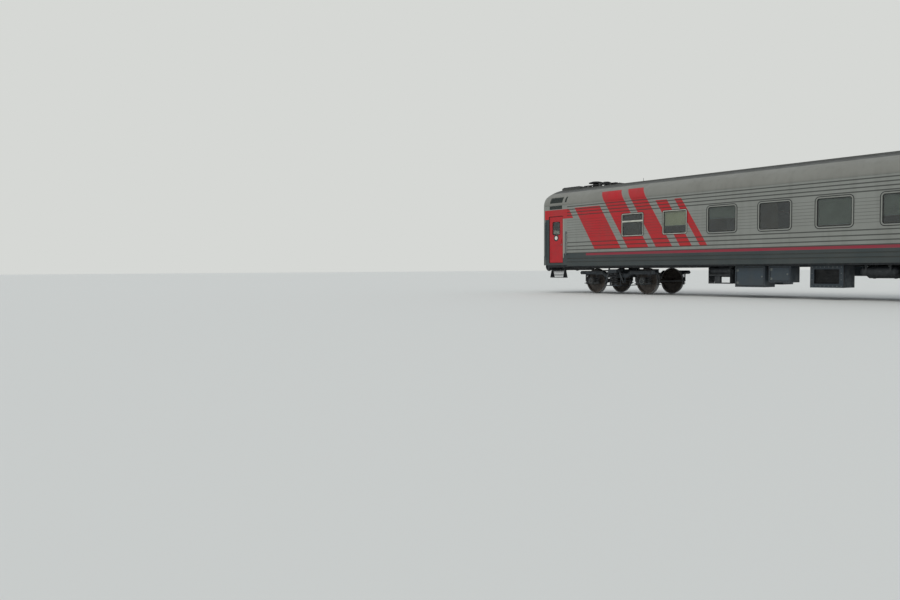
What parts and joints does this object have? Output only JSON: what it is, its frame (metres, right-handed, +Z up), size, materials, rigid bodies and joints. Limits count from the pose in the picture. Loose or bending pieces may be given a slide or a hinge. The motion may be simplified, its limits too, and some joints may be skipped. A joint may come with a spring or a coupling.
{
  "type": "passenger coach",
  "caption": "Broad-gauge sleeping coach with ribbed sides, corridor and compartments, on two swivelling four-wheeled trucks, with opening side and end doors.",
  "frame": {"origin": "under the middle of the coach, at the level of the wheel flanges' lowest point", "axes": "+X along the coach, away from the boiler end; +Y away from the corridor side; +Z up"},
  "size_m": [24.873, 3.234, 4.618],
  "materials": {
    "body_paint": "semi-gloss",
    "roof_paint": "satin",
    "door_red": "semi-gloss",
    "frame_grey": "satin",
    "tinted_glass": "polished",
    "chassis_steel": "matte",
    "cast_steel": "rough",
    "spring_steel": "satin",
    "wheel_steel": "worn",
    "cabinet_paint": "satin",
    "grille_dark": "matte",
    "rail_steel": "satin",
    "bellows_rubber": "matte",
    "floor_board": "matte",
    "inner_panel": "satin",
    "berth_fabric": "woven"
  },
  "bodies": {
    "coach": {"underframe": "chassis_steel", "floor": "floor_board", "roof": "roof_paint", "side_wall_near": "body_paint", "side_wall_far": "body_paint", "end_wall_left": "body_paint", "end_wall_right": "body_paint", "air_grilles": "grille_dark", "roof_vents": "chassis_steel", "roof_housings": "chassis_steel", "roof_pipes": "chassis_steel", "window_frames": "frame_grey", "window_panes": "tinted_glass", "handrails": "rail_steel", "entrance_steps": "chassis_steel", "equipment_cabinets": "cabinet_paint", "cooling_unit": "cabinet_paint", "air_tanks": "chassis_steel", "bridge_plates": "chassis_steel", "buffers": "chassis_steel", "couplers": "cast_steel", "gangway_left": "bellows_rubber", "gangway_right": "bellows_rubber", "vestibule_walls": "inner_panel", "corridor_wall": "inner_panel", "compartment_walls": "inner_panel", "ceiling": "inner_panel", "lower_berths": "berth_fabric", "upper_berths": "berth_fabric", "tables": "inner_panel", "tail_lamps": "chassis_steel", "brake_rack": "chassis_steel"},
    "truck_left": {"truck_frame_left": "chassis_steel", "truck_bolster_left": "chassis_steel", "axle_boxes_left": "cast_steel", "springs_left": "spring_steel", "brakes_left": "cast_steel"},
    "wheelset_left_a_body": {"wheelset_left_a": "wheel_steel"},
    "wheelset_left_b_body": {"wheelset_left_b": "wheel_steel"},
    "end_door_left_body": {"end_door_left": "inner_panel", "end_door_pane_left": "tinted_glass"},
    "side_door_near_left_body": {"side_door_near_left": "door_red", "side_door_pane_near_left": "tinted_glass"},
    "side_door_far_left_body": {"side_door_far_left": "door_red", "side_door_pane_far_left": "tinted_glass"},
    "truck_right": {"truck_frame_right": "chassis_steel", "truck_bolster_right": "chassis_steel", "axle_boxes_right": "cast_steel", "springs_right": "spring_steel", "brakes_right": "cast_steel"},
    "wheelset_right_a_body": {"wheelset_right_a": "wheel_steel"},
    "wheelset_right_b_body": {"wheelset_right_b": "wheel_steel"},
    "end_door_right_body": {"end_door_right": "inner_panel", "end_door_pane_right": "tinted_glass"},
    "side_door_near_right_body": {"side_door_near_right": "door_red", "side_door_pane_near_right": "tinted_glass"},
    "side_door_far_right_body": {"side_door_far_right": "door_red", "side_door_pane_far_right": "tinted_glass"}
  },
  "joints": [
    {"name": "truck_swivel_left", "type": "hinge", "parent": "coach", "child": "truck_left", "pos_m": [-8.5, 0, 0.968], "axis": [0, 0, 1], "range_deg": [-4, 4]},
    {"name": "wheelset_left_a_roll", "type": "hinge", "parent": "truck_left", "child": "wheelset_left_a_body", "pos_m": [-9.75, 0, 0.5065], "axis": [0, 1, 0], "continuous": true},
    {"name": "wheelset_left_b_roll", "type": "hinge", "parent": "truck_left", "child": "wheelset_left_b_body", "pos_m": [-7.25, 0, 0.5065], "axis": [0, 1, 0], "continuous": true},
    {"name": "side_door_near_left_hinge", "type": "hinge", "parent": "coach", "child": "side_door_near_left_body", "pos_m": [-11.667, -1.475, 2.2], "axis": [0, 0, 1], "range_deg": [0, 90]},
    {"name": "side_door_far_left_hinge", "type": "hinge", "parent": "coach", "child": "side_door_far_left_body", "pos_m": [-11.667, 1.475, 2.2], "axis": [0, 0, -1], "range_deg": [0, 90]},
    {"name": "end_door_left_hinge", "type": "hinge", "parent": "coach", "child": "end_door_left_body", "pos_m": [-11.914, -0.385, 2.19], "axis": [0, 0, -1], "range_deg": [0, 90]},
    {"name": "truck_swivel_right", "type": "hinge", "parent": "coach", "child": "truck_right", "pos_m": [8.5, 0, 0.968], "axis": [0, 0, 1], "range_deg": [-4, 4]},
    {"name": "wheelset_right_a_roll", "type": "hinge", "parent": "truck_right", "child": "wheelset_right_a_body", "pos_m": [7.25, 0, 0.5065], "axis": [0, 1, 0], "continuous": true},
    {"name": "wheelset_right_b_roll", "type": "hinge", "parent": "truck_right", "child": "wheelset_right_b_body", "pos_m": [9.75, 0, 0.5065], "axis": [0, 1, 0], "continuous": true},
    {"name": "side_door_near_right_hinge", "type": "hinge", "parent": "coach", "child": "side_door_near_right_body", "pos_m": [11.667, -1.475, 2.2], "axis": [0, 0, -1], "range_deg": [0, 90]},
    {"name": "side_door_far_right_hinge", "type": "hinge", "parent": "coach", "child": "side_door_far_right_body", "pos_m": [11.667, 1.475, 2.2], "axis": [0, 0, 1], "range_deg": [0, 90]},
    {"name": "end_door_right_hinge", "type": "hinge", "parent": "coach", "child": "end_door_right_body", "pos_m": [11.914, -0.385, 2.19], "axis": [0, 0, 1], "range_deg": [0, 90]}
  ]
}
